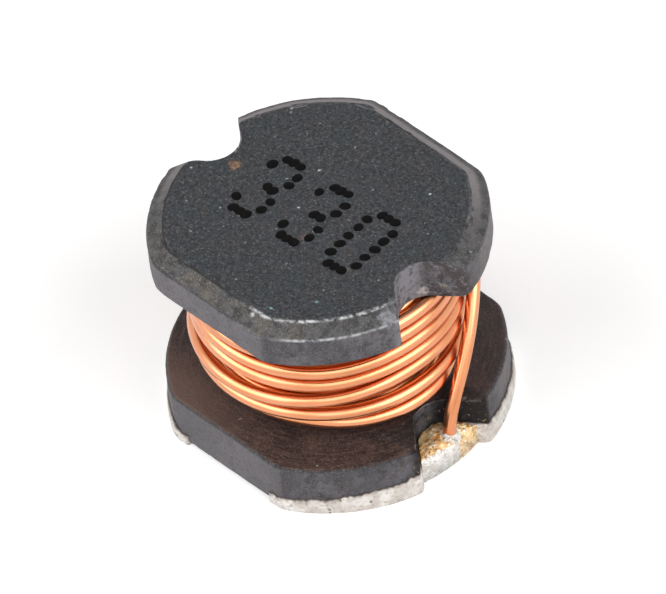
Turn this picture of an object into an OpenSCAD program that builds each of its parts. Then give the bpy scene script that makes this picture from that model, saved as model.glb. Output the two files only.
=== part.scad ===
// Wire-wound power inductor on a drum core, for surface mounting.
// The drum stands on its two terminals at Z = 0 with its axis along Z.
// The wire notches and the terminals are at the two ends of X, and the flats face +Y and -Y.
// All lengths are in millimetres and all angles in degrees.

/* [Ferrite core] */
// Diameter of the drum's two round ends
core_d = 5.8; // [5.4:0.1:6.6]
// Width across the two flats
core_w = 5.2; // [5:0.05:5.6]
// Height of the ferrite, from the lower face to the top face
core_h = 4.2; // [3.8:0.1:5.2]
// Thickness of the upper flange
upper_t = 0.8; // [0.6:0.05:1]
// Thickness of the lower flange
lower_t = 0.92; // [0.75:0.05:1.1]
// Diameter of the post that carries the winding
post_d = 3.2; // [2.9:0.1:3.3]
// Rounding of the corners where a flat meets a round end
corner_r = 0.25; // [0.1:0.05:0.4]
// Width of the sloping rim round the top face
rim_w = 0.3; // [0.15:0.05:0.4]
// Height of the sloping rim round the top face
rim_h = 0.17; // [0.1:0.01:0.3]
// Edge break round the two flange faces that look into the groove
edge_break = 0.05; // [0.02:0.01:0.08]

/* [Wire notches] */
// Depth of a notch, measured in from the round end
notch_depth = 0.8; // [0.7:0.02:0.9]
// Radius of the notch's round bottom
notch_r = 0.5; // [0.42:0.02:0.56]
// Angle of each side of the notch to its centre line
notch_slope = 38; // [34:1:44]
// Rounding of the lip that the wire passes, while the notch's other lip is sharp
lip_r = 0.2; // [0.1:0.02:0.3]

/* [Winding] */
// Diameter of the enamelled wire
wire_d = 0.24; // [0.18:0.01:0.27]
// Least gap between neighbouring turns of a layer
turn_gap = 0.03; // [0.02:0.005:0.05]
// Gap between one layer and the next, and between the first layer and the post
layer_gap = 0.015; // [0.01:0.005:0.03]
// Gap between the winding and the two flanges
flange_gap = 0.02; // [0.01:0.005:0.05]
// Extra space between two turns of the outer layer, where it has slipped apart
slip_gap = 0.13; // [0:0.01:0.2]
// Distance of the outer layer's lowest turn outside the layer under it, which ends above it
tuck_gap = 0.05; // [0:0.01:0.1]
// Radius of the bend where the wire turns from its first leg into the winding
bend_r = 0.25; // [0.2:0.01:0.3]
// Gap between the end of a wire leg and the plated side of its notch
leg_gap = 0.11; // [0.08:0.01:0.14]
// Distance of a wire leg along the side of its notch, from the notch's round bottom
leg_along = 0.05; // [0:0.01:0.1]
// Height of the wire's two ends above the seating plane
leg_end_h = 0.15; // [0.1:0.05:0.25]

/* [Terminals] */
// Thickness of the plated terminals
plating_t = 0.05; // [0.03:0.01:0.08]
// Height of the plating up the round ends, the flats and the notches
plating_h = 0.35; // [0.25:0.05:0.5]
// Distance from the drum's axis to the inner edge of each terminal
plating_from = 1.0; // [0.9:0.05:1.3]

/* [Solder] */
// Height of the solder at the middle of the notch
solder_h = 0.52; // [0.44:0.02:0.6]
// Fall of the solder from its middle to the sides of the notch
solder_fall = 0.1; // [0.06:0.02:0.16]
// Setback of the solder from the drum's round end
solder_setback = 0.14; // [0.1:0.02:0.2]
// Setback of the solder from the seating plane
solder_recess = 0.03; // [0.01:0.01:0.06]

/* [Hidden] */
$fn = 96;

// Drum
core_r = core_d / 2;
flat_y = core_w / 2;
post_r = post_d / 2;
core_low = plating_t;
core_top = core_low + core_h;
groove_low = core_low + lower_t;
groove_top = core_top - upper_t;
// Overshoot that makes a cut pass clean through
clear = 1;
// Share of a rounding's radius at which its neighbours lie, so that surfaces cross and don't just touch
blend = 0.96;

// Centre of a corner's rounding, seen from above in the +X +Y quarter
corner_y = flat_y - blend * corner_r;
corner_x = sqrt(pow(core_r - blend * corner_r, 2) - pow(corner_y, 2));

// Notch: its round bottom, one straight side and the rounding of that side's lip
notch_x = core_r - notch_depth + notch_r;
side_dir = [cos(notch_slope), sin(notch_slope)];
side_out = [-sin(notch_slope), cos(notch_slope)];
side_start = [notch_x, 0] + blend * notch_r * side_out;
lip_base = side_start + blend * lip_r * side_out;
lip_half = lip_base * side_dir;
lip_reach = core_r - blend * lip_r;
lip_run = -lip_half + sqrt(lip_half * lip_half - lip_base * lip_base + lip_reach * lip_reach);
lip_centre = lip_base + lip_run * side_dir;

// Winding: radii of the layers at the middle of a wire, and the heights where they turn back
wire_r = wire_d / 2;
layer_step = wire_d + layer_gap;
least_pitch = wire_d + turn_gap;
layer_1_r = post_r + layer_gap + wire_r;
layer_2_r = layer_1_r + layer_step;
layer_3_r = layer_2_r + layer_step;
outside_r = layer_3_r + layer_step;
wind_low = groove_low + flange_gap + wire_r;
wind_top = groove_top - flange_gap - wire_r;
layer_3_low = wind_low + least_pitch;
layer_2_low = layer_3_low + least_pitch;
tuck_r = layer_2_r + tuck_gap;

// Winding: number of rings to a turn and of sides to the wire, and the turns spent on each crossing
turn_steps = 24;
wire_sides = 8;
bend_steps = 4;
drop_steps = 14;
inward_turn = 105;
cross_turn = 75;
step_turn = 60;
swing_turn = 75;
drop_ease = 8;
leg_ease = 0.6;
leg_rise = 0.73;

// Winding: the two legs, on opposite sides of the drum
leg = side_start - (plating_t + leg_gap + wire_r) * side_out + leg_along * side_dir;
leg_r = norm(leg);
leg_angle = atan2(leg.y, leg.x);
leg_top = solder_h;

// Winding: the turn counted from the end of the first leg's bend, clockwise from above
step_angle = 360 / turn_steps;
ring_stretch = 1 / cos(step_angle / 2);
bend_angle = bend_r / leg_r * 180 / PI;
run_angle = 180 + leg_angle - bend_angle;
// Angles where the outer layer steps up, on the far side, and where the drop begins
far_angle = 100;
drop_angle = 55;
// Part of a turn by which the middle layer ends short, so that it ends on the far side too
far_short = 120;
inner_turns = floor((wind_top - wind_low) / least_pitch);
middle_turns = floor((wind_top - layer_2_low) / least_pitch);
at_layer_1 = inward_turn;
end_layer_1 = at_layer_1 + 360 * inner_turns;
at_layer_2 = end_layer_1 + cross_turn;
end_layer_2 = at_layer_2 + 360 * middle_turns - far_short;
at_layer_3 = end_layer_2 + cross_turn;

// Outer layer: its turns lie level, step up on the far side, and swing out there before the drop
outer_rise = wind_top - layer_3_low - slip_gap;
outer_steps = floor(outer_rise / least_pitch);
outer_pitch = outer_rise / outer_steps;
slip_step = 2;
far_run = step_angle * floor((run_angle - far_angle) / step_angle);
first_step = far_run + 360 * ceil((at_layer_3 - far_run) / 360);
run_total = first_step + 360 * outer_steps + far_angle - drop_angle;
end_layer_3 = run_total - swing_turn;
function outer_height(i) = layer_3_low + outer_pitch * i + (i < slip_step ? 0 : slip_gap);

// Radius of the wire's path against the turn
radius_at = [
    [0, leg_r],
    [at_layer_1, layer_1_r],
    [end_layer_1, layer_1_r],
    [at_layer_2, layer_2_r],
    [end_layer_2, layer_2_r],
    [at_layer_3, layer_2_r],
    [at_layer_3 + swing_turn, tuck_r],
    [first_step - swing_turn, tuck_r],
    [first_step, layer_3_r],
    [end_layer_3, layer_3_r],
    [run_total, outside_r],
];

// Height of the wire's path against the turn
height_at = concat(
    [
        [0, wind_low],
        [at_layer_1, wind_low],
        [end_layer_1, wind_top],
        [at_layer_2, wind_top],
        [end_layer_2, layer_2_low],
        [at_layer_3, layer_3_low],
    ],
    [for (i = [0 : outer_steps - 1])
        let (turned = first_step + 360 * i)
        each [[turned, outer_height(i)], [turned + step_turn, outer_height(i + 1)]]]
);

// Radius of the drop against its height
inset_at = [
    [leg_top, leg_r],
    [groove_low, outside_r * ring_stretch],
];

// Angle and height of the four points that shape the drop from the top turn to the last leg
drop_start = run_angle - run_total + 360 * floor(run_total / 360);
drop_hull = [
    [drop_start, wind_top],
    [drop_start - drop_ease, wind_top],
    [leg_angle + leg_ease, leg_top + leg_rise],
    [leg_angle, leg_top],
];

function polar(radius, angle, height) = [radius * cos(angle), radius * sin(angle), height];

function unit(v) = v / norm(v);

function bezier(p, t) =
    pow(1 - t, 3) * p[0] + 3 * t * pow(1 - t, 2) * p[1] + 3 * t * t * (1 - t) * p[2] + pow(t, 3) * p[3];

function bend_point(turned) = polar(
    leg_r,
    run_angle + bend_angle * cos(turned),
    wind_low - bend_r * (1 - sin(turned))
);

function run_point(turned) = polar(
    lookup(turned, radius_at) * ring_stretch,
    run_angle - turned,
    lookup(turned, height_at)
);

function drop_point(p) = polar(lookup(p[1], inset_at), p[0], p[1]);

// The wire's whole path: first leg, bend, three layers, drop and last leg
wire_path = concat(
    [polar(leg_r, 180 + leg_angle, leg_end_h)],
    [for (i = [0 : bend_steps - 1]) bend_point(90 * i / bend_steps)],
    [for (turned = [0 : step_angle : run_total]) run_point(turned)],
    [for (i = [1 : drop_steps]) drop_point(bezier(drop_hull, i / drop_steps))],
    [polar(leg_r, leg_angle, leg_end_h)]
);

// Ring of points round the wire at one point of its path, square to the path
function wire_ring(path, i) =
    let (
        here = path[i],
        along = unit(path[min(i + 1, len(path) - 1)] - path[max(i - 1, 0)]),
        radial = unit([here.x, here.y, 0]),
        side = unit(radial - (radial * along) * along),
        up = cross(along, side)
    )
    [for (k = [0 : wire_sides - 1])
        let (a = 360 * k / wire_sides)
        here + wire_r * (cos(a) * side + sin(a) * up)];

// Solid of round section that follows a path
module swept_wire(path) {
    n = wire_sides;
    last = len(path) - 1;
    points = [for (i = [0 : last]) each wire_ring(path, i)];
    skin = [
        for (i = [0 : last - 1])
        for (k = [0 : n - 1])
        let (
            a = i * n + k,
            b = i * n + (k + 1) % n
        )
        each [[a, a + n, b], [b, a + n, b + n]]
    ];
    caps = [
        [for (k = [0 : n - 1]) k],
        [for (k = [n - 1 : -1 : 0]) last * n + k],
    ];
    polyhedron(points, concat(skin, caps));
}

// Section of one flange through the axis, out to a given reach
function flange_section(reach, low, high, low_cut, high_cut) = [
    [0, low],
    [reach - low_cut.x, low],
    [reach, low + low_cut.y],
    [reach, high - high_cut.y],
    [reach - high_cut.x, high],
    [0, high],
];

// Outline of the drum from above without its notches, moved out by grow
module drum_outline(grow) {
    difference() {
        intersection() {
            circle(core_r + grow);
            square([2 * (core_r + grow), 2 * (flat_y + grow)], center = true);
        }
        drum_corners(grow);
    }
}

// What the rounding takes off the drum's four corners
module drum_corners(grow) {
    centre = [corner_x, corner_y];
    outside = centre * (core_r + clear) / norm(centre);
    for (x = [0, 1], y = [0, 1])
        mirror([x, 0])
            mirror([0, y])
                difference() {
                    polygon([centre, [corner_x, outside.y + clear], outside + [0, clear], outside]);
                    translate(centre)
                        circle(corner_r + grow);
                }
}

// Outline of the +X notch from above, with its walls moved in by grow
module notch_outline(grow) {
    wall = side_start - grow * side_out;
    apex = [wall.x - wall.y * side_dir.x / side_dir.y, 0];
    lip = wall + lip_run * side_dir;
    mouth = lip_centre * (core_r + clear) / norm(lip_centre);
    sharp_mouth = wall + core_r * side_dir;
    difference() {
        polygon([apex, lip, lip_centre, mouth, [sharp_mouth.x, -sharp_mouth.y]]);
        difference() {
            translate([wall.x - clear, -clear])
                square([clear, 2 * clear]);
            translate([notch_x, 0])
                circle(notch_r - grow);
        }
        translate(lip_centre)
            circle(lip_r + grow);
    }
}

module both_ends() {
    children();
    rotate([0, 0, 180])
        children();
}

// One flange: a turned disc trimmed to the flats, with the same edges all the way round
module flange(low, high, low_cut, high_cut) {
    half = flange_section(flat_y, low, high, low_cut, high_cut);
    other_half = [for (i = [len(half) - 1 : -1 : 0]) [-half[i].x, half[i].y]];
    difference() {
        intersection() {
            rotate_extrude()
                polygon(flange_section(core_r, low, high, low_cut, high_cut));
            rotate([90, 0, 90])
                linear_extrude(core_d + 2 * clear, center = true)
                    polygon(concat(half, other_half));
        }
        translate([0, 0, low - clear])
            linear_extrude(high - low + 2 * clear)
                drum_corners(0);
    }
}

module ferrite_core() {
    groove_edge = [edge_break, edge_break];
    color([0.23, 0.24, 0.25])
        difference() {
            union() {
                flange(core_low, groove_low, [0, 0], groove_edge);
                flange(groove_top, core_top, groove_edge, [rim_w, rim_h]);
                translate([0, 0, groove_low - edge_break])
                    cylinder(h = groove_top - groove_low + 2 * edge_break, r = post_r);
            }
            both_ends()
                translate([0, 0, core_low - clear])
                    linear_extrude(core_h + 2 * clear)
                        notch_outline(0);
        }
}

module winding() {
    color([0.85, 0.45, 0.22])
        swept_wire(wire_path);
}

// Plated layer under one end of the drum, turned up its round end, round its corners and into its notch
module terminal() {
    color([0.80, 0.80, 0.78])
        difference() {
            linear_extrude(plating_h)
                intersection() {
                    difference() {
                        drum_outline(plating_t);
                        notch_outline(plating_t);
                    }
                    translate([plating_from, -core_r])
                        square([core_r, core_d]);
                }
            translate([0, 0, core_low])
                linear_extrude(plating_h)
                    difference() {
                        drum_outline(0);
                        notch_outline(0);
                    }
        }
}

module terminal_a() {
    terminal();
}

module terminal_b() {
    rotate([0, 0, 180])
        terminal();
}

// Crowned fill of solder in the plated notch, with the wire leg standing in it
module solder() {
    front_r = core_r - solder_setback;
    reach = front_r - (core_r - notch_depth);
    crown_r = (pow(reach, 2) + pow(solder_fall, 2)) / (2 * solder_fall);
    color([0.72, 0.60, 0.36])
        difference() {
            intersection() {
                translate([0, 0, solder_recess])
                    linear_extrude(solder_h)
                        intersection() {
                            notch_outline(plating_t);
                            circle(front_r);
                        }
                translate([leg.x, 0, solder_h - crown_r])
                    sphere(crown_r);
            }
            translate([leg.x, leg.y, leg_end_h])
                cylinder(h = solder_h, r = wire_r);
        }
}

module solder_a() {
    solder();
}

module solder_b() {
    rotate([0, 0, 180])
        solder();
}

ferrite_core();
winding();
terminal_a();
terminal_b();
solder_a();
solder_b();
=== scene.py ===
import math
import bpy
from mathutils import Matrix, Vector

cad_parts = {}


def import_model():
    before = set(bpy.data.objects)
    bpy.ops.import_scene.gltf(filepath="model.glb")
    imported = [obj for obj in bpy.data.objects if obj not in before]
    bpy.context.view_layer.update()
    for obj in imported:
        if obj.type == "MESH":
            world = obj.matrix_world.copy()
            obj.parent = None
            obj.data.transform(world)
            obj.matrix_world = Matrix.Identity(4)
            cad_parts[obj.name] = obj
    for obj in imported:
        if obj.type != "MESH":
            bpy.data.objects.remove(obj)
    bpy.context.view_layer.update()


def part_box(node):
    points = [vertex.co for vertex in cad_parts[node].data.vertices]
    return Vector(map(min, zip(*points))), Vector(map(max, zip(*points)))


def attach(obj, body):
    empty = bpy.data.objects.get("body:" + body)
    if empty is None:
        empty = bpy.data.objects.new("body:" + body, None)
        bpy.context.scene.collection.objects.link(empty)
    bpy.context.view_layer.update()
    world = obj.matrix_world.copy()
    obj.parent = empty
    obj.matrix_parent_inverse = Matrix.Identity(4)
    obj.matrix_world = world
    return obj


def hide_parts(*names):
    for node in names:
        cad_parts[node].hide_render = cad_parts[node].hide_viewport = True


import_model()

from types import SimpleNamespace

import bpy
import numpy as np
from mathutils import Matrix, Vector, noise

# Sizes are in millimetres, and angles in degrees unless their line turns them into radians
# MM turns a size into metres
MM = 0.001

# Ferrite drum: the heights and the flats come from the frame, the rest repeats the solids' own sizes
CORE_LOW, CORE_TOP = (corner.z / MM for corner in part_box("ferrite_core"))
FLAT_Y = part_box("ferrite_core")[1].y / MM
CORE_R = 2.9
UPPER_T = 0.8
LOWER_T = 0.92
POST_R = 1.6
RIM_W = 0.3
RIM_H = 0.17
EDGE_BREAK = 0.05
CORNER_BLEND = 0.06
GROOVE_LOW = CORE_LOW + LOWER_T
GROOVE_TOP = CORE_TOP - UPPER_T
# Relief of the skin: size of its features, seed and height
RELIEF = [(0.9, 0, 0.006), (0.25, 5, 0.005), (0.09, 9, 0.003)]
# Wear along the edges, which also places painted pale glints and painted dark shade lines there: its strength on the
# rim's inner edge, its outer edge, the edges below and the notches' edges, how far it reaches from an edge on the rims
# and in the notches, and the size, threshold and depth of its chips
WEAR_GLINT_TOP, WEAR_GLINT_RIM, WEAR_GLINT_BELOW, WEAR_GLINT_NOTCH = 1.0, 0.75, 0.15, 0.6
WEAR_GLINT_REACH, WEAR_GLINT_NOTCH_REACH = 0.035, 0.03
CHIP_SIZE, CHIP_FROM, CHIP_DEPTH = 0.16, 0.22, 0.12

# Wire notches, each with a round lip that the wire passes and a sharp one
NOTCH_DEPTH = 0.8
NOTCH_R = 0.5
NOTCH_SLOPE = math.radians(38)
NOTCH_X = CORE_R - NOTCH_DEPTH + NOTCH_R
ROUND_LIP, SHARP_LIP, PLATED_LIP = 0.1, 0.02, 0.12

# Winding: the wire, its gaps, its slip at one step of the outer layer, its bend and its legs
WIRE_R = 0.12
TURN_GAP = 0.03
LAYER_GAP = 0.015
FLANGE_GAP = 0.02
SLIP_GAP = 0.13
SLIP_STEP = 2
TUCK_GAP = 0.05
BEND_R = 0.25
LEG_AT = (2.516, 0.188)
LEG_END_H = 0.15
# Degrees spent on going in to the post, crossing to a layer, stepping up and swinging out
INWARD_TURN, CROSS_TURN, STEP_TURN, SWING_TURN = 105, 75, 60, 75
# Degrees at which the outer layer steps up, left off the second layer's end, and from the last turn to the drop
FAR_RUN, FAR_SHORT, DROP_RUN = 75, 120, 45
# How the drop's curve leaves the coil and meets the leg, in degrees, and how high it stands over the solder there
DROP_EASE, LEG_EASE, LEG_RISE = 8, 0.6, 0.73
# Where the turns of the outer layer lie off their even places, by step: degrees past the step, rise and reach
SAG = {
    2: [(112, 0.08, 0.0), (154, -0.08, 0.03), (194, -0.15, 0.065), (250, -0.15, 0.065), (310, 0.0, 0.0)],
    3: [(112, 0.07, 0.0), (154, -0.03, 0.0), (194, 0.02, 0.0), (310, 0.0, 0.0)],
    4: [(112, 0.035, 0.0), (154, -0.06, 0.0), (194, 0.0, 0.0)],
}
# The outer layer's first run swings out and in again before it tucks under the next, in degrees past its start
FIRST_RUN_OUT, FIRST_RUN_IN, FIRST_RUN_TUCKED = 36, 64, 104
# Small waves of the outer turns, outwards and upwards
WAVE_OUT, WAVE_UP = 0.012, 0.014
# The path's steps in degrees, and the number of them over which its kinks are smoothed
RUN_STEP, RUN_EASE = 4.0, 9
# What follows from these sizes: pitch, layers, lowest and highest turns, and where the legs and the turns start
TURN_PITCH = 2 * WIRE_R + TURN_GAP
LAYER_STEP = 2 * WIRE_R + LAYER_GAP
LAYER_1, LAYER_2, LAYER_3, OUTSIDE = (POST_R + LAYER_GAP + WIRE_R + LAYER_STEP * k for k in range(4))
COIL_LOW = GROOVE_LOW + FLANGE_GAP + WIRE_R
COIL_TOP = GROOVE_TOP - FLANGE_GAP - WIRE_R
LEG_R = math.hypot(*LEG_AT)
LEG_ANGLE = math.degrees(math.atan2(LEG_AT[1], LEG_AT[0]))
BEND_ANGLE = math.degrees(BEND_R / LEG_R)
RUN_ANGLE = 180 + LEG_ANGLE - BEND_ANGLE

# Terminals and solder
PLATING_T = 0.05
PLATING_FROM = 1.0
PLATING_END = math.atan2(FLAT_Y, PLATING_FROM)
# Height of the plating's upper edge against the angle from the middle of its notch
PLATING_EDGE = ([0, 15, 22, 50, 69], [0.43, 0.43, 0.41, 0.31, 0.22])
# Waves along that edge: their scale and height
PLATING_WAVES = ((9, 0.06), (37, 0.04))
# How the plating thins up the wall: share of its height, and share of its thickness left there
PLATING_THINS = ((0.2, 1.0), (0.4, 1.0), (0.6, 0.97), (0.8, 0.88), (0.92, 0.68), (1.0, 0.35))
# Height of the wall's foot, depth of the plating's back in the ferrite and width of the tarnish along its upper edge
PLATING_FOOT, PLATING_SUNK, TARNISH_W = 0.03, 0.01, 0.08
SOLDER_LOW = 0.03
SOLDER_TOP = 0.52
SOLDER_REACH = CORE_R - 0.14
SOLDER_CROWN = 2.23
# Lumps of the solder: scale, step from one end's seed to the other's, seed and height
SOLDER_LUMPS = ((5, 3, 0, 0.03), (14, 5, 1, 0.02))
# How far the solder is drawn up round the leg, over what reach, and how far it drops at its front
SOLDER_RISE, SOLDER_RISE_REACH, SOLDER_DROP = 0.06, 0.17, 0.12
# Middle, reach and strength of the bright bead at the wire's foot
LEG_FOOT = (LEG_AT[0] + 0.06, LEG_AT[1] - 0.03)
FOOT_REACH, FOOT_BARE = 0.2, 0.8
# Line in front of which the solder is bare of flux, as x against y, and half the width of its change
BARE_FROM, BARE_SLOPE, BARE_BLUR = 2.72, 0.19, 0.06

# Marking: a plain number in rows of ink dots
MARK_MIDDLE = (0.03, -0.09)
MARK_STEP = (1.09, 0.065)
MARK_TURN = math.radians(5)
DOT_R = 0.099
DOT_PITCH = (0.142, 0.231)
# Rings of a dot: share of its radius and height over the face
DOT_RINGS = ((1.0, -0.012), (0.98, 0.003), (0.85, 0.008), (0.45, 0.01), (0.05, 0.0105))
# How far the dots stray, differ in size and are out of round
DOT_STRAY, DOT_DIFFER, DOT_OUT_OF_ROUND = 0.02, 0.15, 0.07
DIGITS = {
    "3": ["01110", "10001", "00001", "00110", "00001", "10001", "01110"],
    "0": ["01110", "10001", "10001", "10001", "10001", "10001", "01110"],
}

# Single smears, knocks and specks on the upper flange: place, reach and colour
MARKS = [
    ((-1.85, -0.15, 4.25), 0.13, (0.36, 0.20, 0.12)),
    ((1.36, -0.67, 4.25), 0.09, (0.26, 0.20, 0.13)),
    ((0.29, -0.56, 4.25), 0.08, (0.22, 0.13, 0.125)),
    ((2.64, -0.90, 4.15), 0.22, (0.30, 0.30, 0.325)),
    ((2.19, 0.28, 3.57), 0.14, (0.48, 0.43, 0.43)),
    ((2.50, 0.49, 3.70), 0.08, (0.50, 0.42, 0.28)),
    ((1.08, -2.09, 4.25), 0.04, (0.28, 0.46, 0.45)),
    ((1.56, -1.48, 4.25), 0.04, (0.28, 0.46, 0.48)),
    ((0.92, -2.38, 4.22), 0.06, (0.60, 0.60, 0.62)),
]

# Camera, fitted to the photograph's 666 x 594 frame, with its scale in pixels to the millimetre and centre in pixels
PHOTO_W = 666
VIEW_AZIMUTH, VIEW_ELEVATION, VIEW_ROLL = 52.0, 44.69, -7.97
VIEW_DISTANCE = 400
VIEW_SCALE = 59.478
VIEW_TARGET = (0, 0, 2.15)
VIEW_CENTRE = (3.765, 2.393)

# Soft lamps: name, degrees round from the camera, elevation, width and height in degrees, and radiance
LAMPS = [
    ("left_lamp", -74, 36, 60, 46, 2.4),
    ("right_lamp", 50, 36, 46, 46, 2.9),
    ("front_lamp", 0, 36, 40, 36, 1.6),
]
LAMP_DISTANCE = 700
LAMP_TARGET = (0, 0, 2)
# Floor: half its side, its grey, and the glow that makes it look white; room: its strength as light and as seen
FLOOR_HALF, FLOOR_GREY, FLOOR_GLOW = 2000, 0.82, 0.42
ROOM_LIGHT, ROOM_SEEN = 0.15, 1.0


def smooth_max(a, b, blend):
    """The larger of two distances, with the crease between them rounded over a width of blend."""
    return np.maximum(a, b) + np.maximum(blend - np.abs(a - b), 0) ** 2 / (4 * blend)


def outline(angles, inset=0.0, notch_inset=0.0, sharp_lip=SHARP_LIP):
    """Radius of the drum's outline at each angle, moved in by inset on its ends and flats and by notch_inset in
    its notches."""
    low = np.full(len(angles), 1.2)
    high = np.full(len(angles), CORE_R + 0.3)
    for _ in range(40):
        radius = (low + high) / 2
        x, y = radius * np.cos(angles), radius * np.sin(angles)
        drum = smooth_max(radius - CORE_R, np.abs(y) - FLAT_Y, CORNER_BLEND) + inset
        u, v = np.abs(x) - NOTCH_X, np.abs(y)
        along = u * math.cos(NOTCH_SLOPE) + v * math.sin(NOTCH_SLOPE)
        across = v * math.cos(NOTCH_SLOPE) - u * math.sin(NOTCH_SLOPE)
        notch = np.where(along > 0, across, np.hypot(u, v)) - NOTCH_R
        lip = np.where(x * y > 0, ROUND_LIP, sharp_lip)
        outside = smooth_max(drum, notch_inset - notch, lip) > 0
        high = np.where(outside, radius, high)
        low = np.where(outside, low, radius)
    return (low + high) / 2


def dense_angles(count, low, high, centres, width, gain):
    """Angles from low to high that lie closer together around the given centres."""
    fine = np.linspace(low, high, 20000)
    density = np.ones_like(fine)
    for centre in centres:
        density += gain * np.exp(-(((fine - centre) / width) ** 2))
    share = np.concatenate([[0], np.cumsum((density[1:] + density[:-1]) / 2)])
    return np.interp(np.linspace(0, share[-1], count), share, fine)


def rounded_profile(points, longest, steps=6):
    """A profile through (inset, z, radius) points with its corners rounded by their radius and its long stretches
    divided."""
    corners = []
    for i, (inset, z, radius) in enumerate(points):
        here = np.array([inset, z])
        if i in (0, len(points) - 1):
            corners.append(here)
            continue
        before, after = np.array(points[i - 1][:2]) - here, np.array(points[i + 1][:2]) - here
        start = here + before / np.linalg.norm(before) * radius
        end = here + after / np.linalg.norm(after) * radius
        for t in np.linspace(0, 1, steps):
            corners.append((1 - t) ** 2 * start + 2 * t * (1 - t) * here + t * t * end)
    result = [corners[0]]
    for start, end in zip(corners[:-1], corners[1:]):
        parts = max(1, math.ceil(np.linalg.norm(end - start) / longest))
        result += [start + (end - start) * k / parts for k in range(1, parts + 1)]
    return result


def noise_at(points, size, seed=0.0):
    """Smooth noise from -1 to 1 at each point, with features of about that size in millimetres."""
    return np.array([noise.noise(Vector(p) / size + Vector((seed, seed, seed))) for p in points])


def mesh_object(name, points, faces, material):
    """A smooth-shaded mesh piece from points in millimetres, riding on the root body."""
    mesh = bpy.data.meshes.new(name)
    mesh.from_pydata((np.asarray(points) * MM).tolist(), [], faces)
    mesh.update()
    mesh.polygons.foreach_set("use_smooth", [True] * len(mesh.polygons))
    mesh.materials.append(material)
    piece = bpy.data.objects.new(name, mesh)
    bpy.context.scene.collection.objects.link(piece)
    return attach(piece, "root")


def loft_faces(rings, around, closed=True):
    """Quads between rings of points that follow each other, each ring a closed loop or an open line."""
    faces = []
    for i in range(rings - 1):
        for k in range(around if closed else around - 1):
            a, b = i * around + k, i * around + (k + 1) % around
            faces.append((a, b, b + around, a + around))
    return faces


def capped_faces(rings, around):
    """Quads of a loft of closed rings, and a face over each of its two ends."""
    last = (rings - 1) * around
    return loft_faces(rings, around) + [tuple(range(around))[::-1], tuple(last + k for k in range(around))]


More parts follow.
